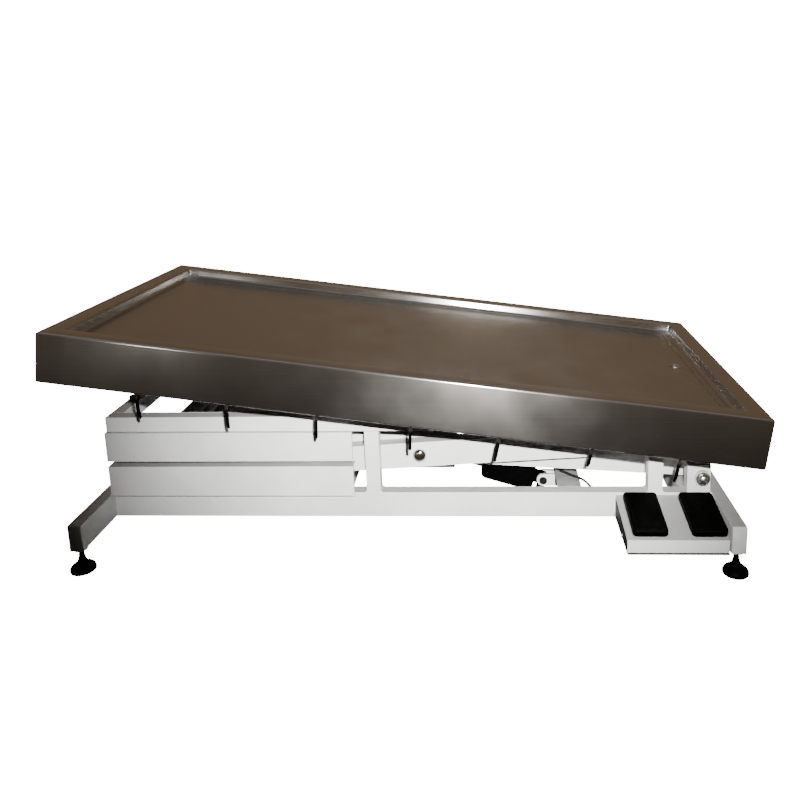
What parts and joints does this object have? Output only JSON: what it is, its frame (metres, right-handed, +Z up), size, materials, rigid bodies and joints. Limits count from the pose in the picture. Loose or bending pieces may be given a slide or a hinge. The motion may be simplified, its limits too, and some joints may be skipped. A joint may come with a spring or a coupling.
{
  "type": "veterinary exam table",
  "caption": "Veterinary exam table with a tilting stainless steel tray on an electric scissor lift, a welded tube base, levelling feet and two foot pedals",
  "frame": {"origin": "on the floor, under the middle of the table's box", "axes": "X along the table towards the pedals, Y away from the working side, Z up"},
  "size_m": [1.3004, 0.769, 0.4379],
  "materials": {
    "base_rails": "white powder coat",
    "foot_beams": "white powder coat",
    "beam_end_caps": "moulded",
    "cross_members": "white powder coat",
    "lift_anchor_angle": "white powder coat",
    "lift_anchor_ears": "white powder coat",
    "lift_anchor_pin": "turned steel",
    "posts": "white powder coat",
    "lower_tracks": "white powder coat",
    "pivot_brackets": "white powder coat",
    "base_pivot_pins": "turned steel",
    "cover_upper": "white powder coat",
    "cover_lower": "white powder coat",
    "control_box": "moulded, grey",
    "motor_lead": "soft black",
    "pedal_base": "white powder coat",
    "pedal_base_plate": "brushed, grain along the length",
    "foot_inserts": "turned steel",
    "inner_arms": "white powder coat",
    "inner_cross_tubes": "white powder coat",
    "upper_roller_axles": "turned steel",
    "outer_arms": "white powder coat",
    "outer_cross_tubes": "white powder coat",
    "torque_tube": "white powder coat",
    "lift_lever": "white powder coat",
    "lever_pin": "turned steel",
    "centre_bolts": "polished",
    "lower_roller_axles": "turned steel",
    "roller_low_front": "moulded, black",
    "roller_low_rear": "moulded, black",
    "roller_up_front": "moulded, black",
    "roller_up_rear": "moulded, black",
    "frame_side_tubes": "white powder coat",
    "frame_cross_tubes": "white powder coat",
    "upper_tracks": "white powder coat",
    "upper_hinge_blocks": "white powder coat",
    "frame_pivot_pins": "turned steel",
    "tilt_anchor_ears": "white powder coat",
    "rest_buffers": "soft black",
    "tray_top": "brushed, grain along the length",
    "tray_skirt": "brushed, grain along the length",
    "tray_stiffeners": "brushed, grain along the length",
    "tray_hinge_plates": "brushed, grain along the length",
    "tray_lugs": "brushed, grain along the length",
    "hook_rods": "turned steel",
    "hook_sleeves": "moulded, black",
    "drain_fitting": "turned steel",
    "lift_motor": "moulded, black",
    "lift_tube": "satin",
    "lift_rod": "polished",
    "tilt_motor": "moulded, black",
    "tilt_tube": "satin",
    "tilt_rod": "polished",
    "pedal_left": "moulded, black",
    "pedal_right": "moulded, black",
    "foot_front_left": "moulded, black",
    "foot_front_right": "moulded, black",
    "foot_rear_left": "moulded, black",
    "foot_rear_right": "moulded, black"
  },
  "bodies": {
    "base": {"base_rails": "base_rails", "foot_beams": "foot_beams", "beam_end_caps": "beam_end_caps", "cross_members": "cross_members", "lift_anchor_angle": "lift_anchor_angle", "lift_anchor_ears": "lift_anchor_ears", "lift_anchor_pin": "lift_anchor_pin", "posts": "posts", "lower_tracks": "lower_tracks", "pivot_brackets": "pivot_brackets", "base_pivot_pins": "base_pivot_pins", "cover_upper": "cover_upper", "cover_lower": "cover_lower", "control_box": "control_box", "motor_lead": "motor_lead", "pedal_base": "pedal_base", "pedal_base_plate": "pedal_base_plate", "foot_inserts": "foot_inserts"},
    "inner_arms": {"inner_arms": "inner_arms", "inner_cross_tubes": "inner_cross_tubes", "upper_roller_axles": "upper_roller_axles"},
    "outer_arms": {"outer_arms": "outer_arms", "outer_cross_tubes": "outer_cross_tubes", "torque_tube": "torque_tube", "lift_lever": "lift_lever", "lever_pin": "lever_pin", "centre_bolts": "centre_bolts", "lower_roller_axles": "lower_roller_axles"},
    "upper_frame": {"frame_side_tubes": "frame_side_tubes", "frame_cross_tubes": "frame_cross_tubes", "upper_tracks": "upper_tracks", "upper_hinge_blocks": "upper_hinge_blocks", "frame_pivot_pins": "frame_pivot_pins", "tilt_anchor_ears": "tilt_anchor_ears", "rest_buffers": "rest_buffers"},
    "tray": {"tray_top": "tray_top", "tray_skirt": "tray_skirt", "tray_stiffeners": "tray_stiffeners", "tray_hinge_plates": "tray_hinge_plates", "tray_lugs": "tray_lugs", "hook_rods": "hook_rods", "hook_sleeves": "hook_sleeves", "drain_fitting": "drain_fitting"},
    "lift_drive": {"lift_motor": "lift_motor", "lift_tube": "lift_tube"},
    "lift_ram": {"lift_rod": "lift_rod"},
    "tilt_drive": {"tilt_motor": "tilt_motor", "tilt_tube": "tilt_tube"},
    "tilt_ram": {"tilt_rod": "tilt_rod"},
    "roller_low_front": {"roller_low_front": "roller_low_front"},
    "roller_low_rear": {"roller_low_rear": "roller_low_rear"},
    "roller_up_front": {"roller_up_front": "roller_up_front"},
    "roller_up_rear": {"roller_up_rear": "roller_up_rear"},
    "pedal_left": {"pedal_left": "pedal_left"},
    "pedal_right": {"pedal_right": "pedal_right"},
    "foot_front_left": {"foot_front_left": "foot_front_left"},
    "foot_front_right": {"foot_front_right": "foot_front_right"},
    "foot_rear_left": {"foot_rear_left": "foot_rear_left"},
    "foot_rear_right": {"foot_rear_right": "foot_rear_right"}
  },
  "joints": [
    {"name": "lift", "type": "hinge", "parent": "base", "child": "inner_arms", "pos_m": [0.553, 0, 0.126], "axis": [0, 1, 0], "range_deg": [0, 38.5]},
    {"name": "scissor_middle", "type": "hinge", "parent": "inner_arms", "child": "outer_arms", "pos_m": [0.02403, 0, 0.159], "axis": [0, 1, 0], "range_deg": [-77, 0]},
    {"name": "frame_hinge", "type": "hinge", "parent": "outer_arms", "child": "upper_frame", "pos_m": [0.553, 0, 0.192], "axis": [0, 1, 0], "range_deg": [0, 38.5]},
    {"name": "tray_tilt", "type": "hinge", "parent": "upper_frame", "child": "tray", "pos_m": [0.561, 0, 0.234], "axis": [0, 1, 0], "range_deg": [-7.6, 8]},
    {"name": "lift_drive_swing", "type": "hinge", "parent": "base", "child": "lift_drive", "pos_m": [0.265, -0.145, 0.074], "axis": [0, 1, 0], "range_deg": [0, 47]},
    {"name": "lift_ram_slide", "type": "slide", "parent": "lift_drive", "child": "lift_ram", "axis": [-0.9563, 0, 0.2924], "range_m": [0, 0.069]},
    {"name": "tilt_drive_swing", "type": "hinge", "parent": "upper_frame", "child": "tilt_drive", "pos_m": [0.44, 0.06, 0.234], "axis": [0, 1, 0], "range_deg": [-9.7, 10.2]},
    {"name": "tilt_ram_slide", "type": "slide", "parent": "tilt_drive", "child": "tilt_ram", "axis": [-0.9808, 0, 0.1948], "range_m": [-0.0032, 0.0034]},
    {"name": "roller_low_front_spin", "type": "hinge", "parent": "outer_arms", "child": "roller_low_front", "pos_m": [-0.50494, -0.237, 0.126], "axis": [0, 1, 0], "continuous": true},
    {"name": "roller_low_rear_spin", "type": "hinge", "parent": "outer_arms", "child": "roller_low_rear", "pos_m": [-0.50494, 0.237, 0.126], "axis": [0, 1, 0], "continuous": true},
    {"name": "roller_up_front_spin", "type": "hinge", "parent": "inner_arms", "child": "roller_up_front", "pos_m": [-0.50494, -0.209, 0.192], "axis": [0, 1, 0], "continuous": true},
    {"name": "roller_up_rear_spin", "type": "hinge", "parent": "inner_arms", "child": "roller_up_rear", "pos_m": [-0.50494, 0.209, 0.192], "axis": [0, 1, 0], "continuous": true},
    {"name": "pedal_left_rock", "type": "hinge", "parent": "base", "child": "pedal_left", "pos_m": [0.435, -0.31513, 0.06771], "axis": [1, 0, 0], "range_deg": [-2.5, 2.5], "stiffness_Nm_per_rad": 20},
    {"name": "pedal_right_rock", "type": "hinge", "parent": "base", "child": "pedal_right", "pos_m": [0.5365, -0.31513, 0.06771], "axis": [1, 0, 0], "range_deg": [-2.5, 2.5], "stiffness_Nm_per_rad": 20},
    {"name": "foot_front_left_turn", "type": "hinge", "parent": "base", "child": "foot_front_left", "pos_m": [-0.5845, -0.362, 0.03], "axis": [0, 0, 1], "continuous": true},
    {"name": "foot_rear_left_turn", "type": "hinge", "parent": "base", "child": "foot_rear_left", "pos_m": [-0.5845, 0.362, 0.03], "axis": [0, 0, 1], "continuous": true},
    {"name": "foot_front_right_turn", "type": "hinge", "parent": "base", "child": "foot_front_right", "pos_m": [0.5845, -0.362, 0.03], "axis": [0, 0, 1], "continuous": true},
    {"name": "foot_rear_right_turn", "type": "hinge", "parent": "base", "child": "foot_rear_right", "pos_m": [0.5845, 0.362, 0.03], "axis": [0, 0, 1], "continuous": true}
  ],
  "couplings": [
    {"joint": "scissor_middle", "follows": "lift", "ratio": -2},
    {"joint": "frame_hinge", "follows": "lift", "ratio": 1},
    {"joint": "lift_drive_swing", "follows": "lift", "ratio": 1.2193},
    {"joint": "lift_ram_slide", "follows": "lift", "m_per_rad": 0.10209},
    {"joint": "tilt_drive_swing", "follows": "tray_tilt", "ratio": 1.2666},
    {"joint": "tilt_ram_slide", "follows": "tray_tilt", "m_per_rad": 0.023942}
  ]
}
